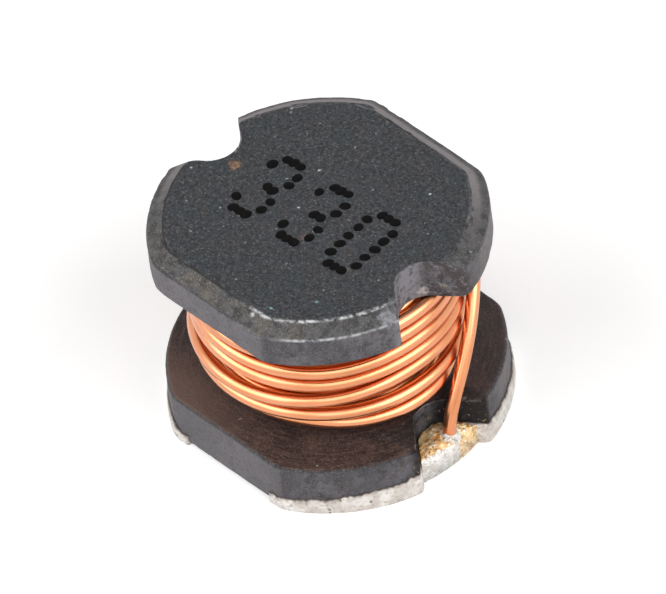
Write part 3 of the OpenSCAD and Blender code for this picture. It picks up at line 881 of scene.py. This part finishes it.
def terminal(name, node, turned, material):
    """Plated layer under one end, turned up its sides and into its notch, with an uneven upper edge."""
    angles = dense_angles(381, -PLATING_END, PLATING_END, [0], 0.3, 1.6)
    sections, upper = [], []
    outer = outline(angles, -PLATING_T, -PLATING_T, PLATED_LIP)
    for a, r_core, r_out in zip(angles, outline(angles), outer):
        top = np.interp(math.degrees(abs(a)), *PLATING_EDGE)
        for scale, size in PLATING_WAVES:
            top += size * noise.noise(Vector((a * scale, 7.0 * turned, scale / 10)))
        r_in = min(PLATING_FROM / math.cos(a), r_core - PLATING_SUNK)
        section = plating_section(r_in, r_core, r_out, top)
        upper += [min(max((z - top + TARNISH_W) / TARNISH_W, 0.0), 1.0) for _, z in section]
        sections.append([(r * math.cos(a), r * math.sin(a), z) for r, z in section])
    piece = end_piece(name, node, sections, turned, material)
    piece.data.attributes.new("upper", "FLOAT", "POINT").data.foreach_set("value", upper)
    return piece


def solder_height(x, y, out, turned):
    """Height of the fill at a place, out going from 0 at its back to 1 at its front."""
    lump = 0.0
    for scale, step, seed, height in SOLDER_LUMPS:
        lump += noise.noise(Vector((x * scale, y * scale, turned * step + seed))) * height
    near_leg = math.hypot(x - LEG_AT[0], y - LEG_AT[1] - 0.05)
    rise = SOLDER_RISE * math.exp(-((near_leg / SOLDER_RISE_REACH) ** 2))
    fall = ((x - LEG_AT[0]) ** 2 + y * y) / (2 * SOLDER_CROWN)
    return SOLDER_TOP - fall - SOLDER_DROP * out**6 + lump + rise


def solder_bare(x, y):
    """How bare of flux the solder is at a place: wholly in front of a line, and mostly at the wire's foot."""
    front = np.interp(x - BARE_SLOPE * y - BARE_FROM, [-BARE_BLUR, BARE_BLUR], [0.0, 1.0])
    foot = FOOT_BARE * math.exp(-((math.dist((x, y), LEG_FOOT) / FOOT_REACH) ** 4))
    return max(front, foot)


def solder(name, node, turned, material, rows=41):
    """Lumpy fill of solder and flux in one plated notch, drawn up round the wire leg and bare at its front."""
    probe = np.linspace(0, 0.4, 4000)
    left, right = (probe[np.argmax(outline(side * probe, 0, -PLATING_T) > SOLDER_REACH)] for side in (-1, 1))
    angles = np.linspace(-left, right, 121)
    sections, bare = [], []
    for a, r_back in zip(angles, outline(angles, 0, -PLATING_T)):
        r_front = max(SOLDER_REACH, r_back)
        out = np.linspace(0, 1, rows)
        places = [(r * math.cos(a), r * math.sin(a)) for r in r_back + (r_front - r_back) * out]
        section = [(*places[0], SOLDER_LOW)]
        section += [(x, y, solder_height(x, y, s, turned)) for (x, y), s in zip(places, out)]
        section.append((*places[-1], SOLDER_LOW))
        bare += [solder_bare(x, y) for x, y, _ in section]
        sections.append(section)
    piece = end_piece(name, node, sections, turned, material)
    piece.data.attributes.new("bare", "FLOAT", "POINT").data.foreach_set("value", bare)
    return piece


def ink_dot(spot, around):
    """Rings of points of one dot of ink, a little off its place and out of round."""
    shift = noise_at([(*spot * 7, k * 5.0) for k in range(3)], 1.0)
    shape = 1 + DOT_DIFFER * shift[2] + DOT_OUT_OF_ROUND * np.sin(2 * around + 9 * shift[0])
    circle = np.column_stack([np.cos(around), np.sin(around)]) * shape[:, None]
    middle = spot + shift[:2] * DOT_STRAY
    return [(*(middle + DOT_R * share * side), CORE_TOP + lift) for share, lift in DOT_RINGS for side in circle]


def marking(number, material, sides=20):
    """A plain number on the top face in rows of small ink dots."""
    across = np.array([math.cos(MARK_TURN), math.sin(MARK_TURN)]) * DOT_PITCH[0]
    down = np.array([math.sin(MARK_TURN), -math.cos(MARK_TURN)]) * DOT_PITCH[1]
    around = np.arange(sides) * 2 * math.pi / sides
    points, faces = [], []
    for place, digit in enumerate(number):
        centre = np.array(MARK_MIDDLE) + np.array(MARK_STEP) * (place - (len(number) - 1) / 2)
        rows = enumerate(DIGITS[digit])
        inked = [(row, column) for row, line in rows for column, dot in enumerate(line) if dot == "1"]
        for row, column in inked:
            first = len(points)
            points += ink_dot(centre + across * (column - 2) + down * (row - 3), around)
            faces += [tuple(first + i for i in face) for face in capped_faces(len(DOT_RINGS), sides)]
    return mesh_object("marking", points, faces, material)


def look_axes(azimuth, elevation, roll=0.0):
    """Right, up and back vectors of a view, with azimuth 0 looking along +Y."""
    a, e, r = (math.radians(x) for x in (azimuth, elevation, roll))
    back = Vector((math.sin(a) * math.cos(e), -math.cos(a) * math.cos(e), math.sin(e)))
    level = Vector((math.cos(a), math.sin(a), 0))
    up = back.cross(level)
    return level * math.cos(r) + up * math.sin(r), up * math.cos(r) - level * math.sin(r), back


def aimed(obj, target, axes, distance):
    """Puts an object at a distance from its target, looking at it."""
    right, up, back = axes
    turn = Matrix((right, up, back)).transposed().to_4x4()
    obj.matrix_world = Matrix.Translation(target + back * distance) @ turn
    bpy.context.scene.collection.objects.link(obj)


def camera():
    """The camera at the photograph's angle, far off as a long lens is."""
    data = bpy.data.cameras.new("camera")
    data.sensor_width = 36
    data.lens = VIEW_SCALE * VIEW_DISTANCE * data.sensor_width / PHOTO_W
    data.clip_start, data.clip_end = 0.01, 10
    axes = look_axes(VIEW_AZIMUTH, VIEW_ELEVATION, VIEW_ROLL)
    shift = axes[0] * VIEW_CENTRE[0] + axes[1] * VIEW_CENTRE[1]
    target = (Vector(VIEW_TARGET) + shift / VIEW_SCALE) * MM
    obj = bpy.data.objects.new("camera", data)
    aimed(obj, target, axes, VIEW_DISTANCE * MM)
    bpy.context.scene.camera = obj


def softbox(name, azimuth, elevation, width, height, radiance):
    """A soft rectangular lamp of even radiance, with its width and height in degrees, aimed at the object."""
    distance = LAMP_DISTANCE * MM
    data = bpy.data.lights.new(name, "AREA")
    data.shape = "RECTANGLE"
    data.size, data.size_y = (2 * distance * math.tan(math.radians(x / 2)) for x in (width, height))
    data.energy = radiance * math.pi * data.size * data.size_y
    obj = bpy.data.objects.new(name, data)
    aimed(obj, Vector(LAMP_TARGET) * MM, look_axes(azimuth, elevation), distance)


def seen_or_mirrored(tree, low, high):
    """A strength that is high where the camera, a mirror or a glass sees the surface, and low where it lights."""
    path = tree.nodes.new("ShaderNodeLightPath")
    total = path.outputs["Is Camera Ray"]
    for name in ("Is Glossy Ray", "Is Transmission Ray"):
        node = tree.nodes.new("ShaderNodeMath")
        node.operation = "MAXIMUM"
        tree.links.new(total, node.inputs[0])
        tree.links.new(path.outputs[name], node.inputs[1])
        total = node.outputs[0]
    level = tree.nodes.new("ShaderNodeMapRange")
    level.inputs["To Min"].default_value = low
    level.inputs["To Max"].default_value = high
    tree.links.new(total, level.inputs["Value"])
    return level.outputs["Result"]


def floor():
    """A plain pale floor that keeps the object's shadow and looks white elsewhere."""
    half = FLOOR_HALF * MM
    mesh = bpy.data.meshes.new("floor")
    mesh.from_pydata([(-half, -half, 0), (half, -half, 0), (half, half, 0), (-half, half, 0)], [], [(0, 1, 2, 3)])
    material = bpy.data.materials.new("floor")
    material.use_nodes = True
    tree = material.node_tree
    shader = tree.nodes["Principled BSDF"]
    shader.inputs["Base Color"].default_value = (FLOOR_GREY, FLOOR_GREY, FLOOR_GREY, 1)
    shader.inputs["Roughness"].default_value = 0.9
    shader.inputs["Specular IOR Level"].default_value = 0.0
    shader.inputs["Emission Color"].default_value = (1, 1, 1, 1)
    tree.links.new(seen_or_mirrored(tree, 0.0, FLOOR_GLOW), shader.inputs["Emission Strength"])
    mesh.materials.append(material)
    obj = bpy.data.objects.new("floor", mesh)
    bpy.context.scene.collection.objects.link(obj)


def world():
    """White behind the object and in its mirrors, and a dim even room that lights it."""
    scene_world = bpy.data.worlds.new("studio")
    bpy.context.scene.world = scene_world
    scene_world.use_nodes = True
    tree = scene_world.node_tree
    background = tree.nodes["Background"]
    background.inputs["Color"].default_value = (1, 1, 1, 1)
    tree.links.new(seen_or_mirrored(tree, ROOM_LIGHT, ROOM_SEEN), background.inputs["Strength"])


def studio():
    """Floor, room, camera and soft lamps: a bright one on each side of the camera and a weaker one under it."""
    floor()
    world()
    camera()
    for name, round_by, *lamp in LAMPS:
        softbox(name, VIEW_AZIMUTH + round_by, *lamp)


studio()
ferrite_core(ferrite_material())
winding(copper_material())
plating = plating_material()
terminal("terminal_plating_a", "terminal_a", 0, plating)
terminal("terminal_plating_b", "terminal_b", 1, plating)
filler = solder_material()
solder("solder_fill_a", "solder_a", 0, filler)
solder("solder_fill_b", "solder_b", 1, filler)
marking("330", ink_material())

bpy.context.scene.view_settings.view_transform = "Standard"
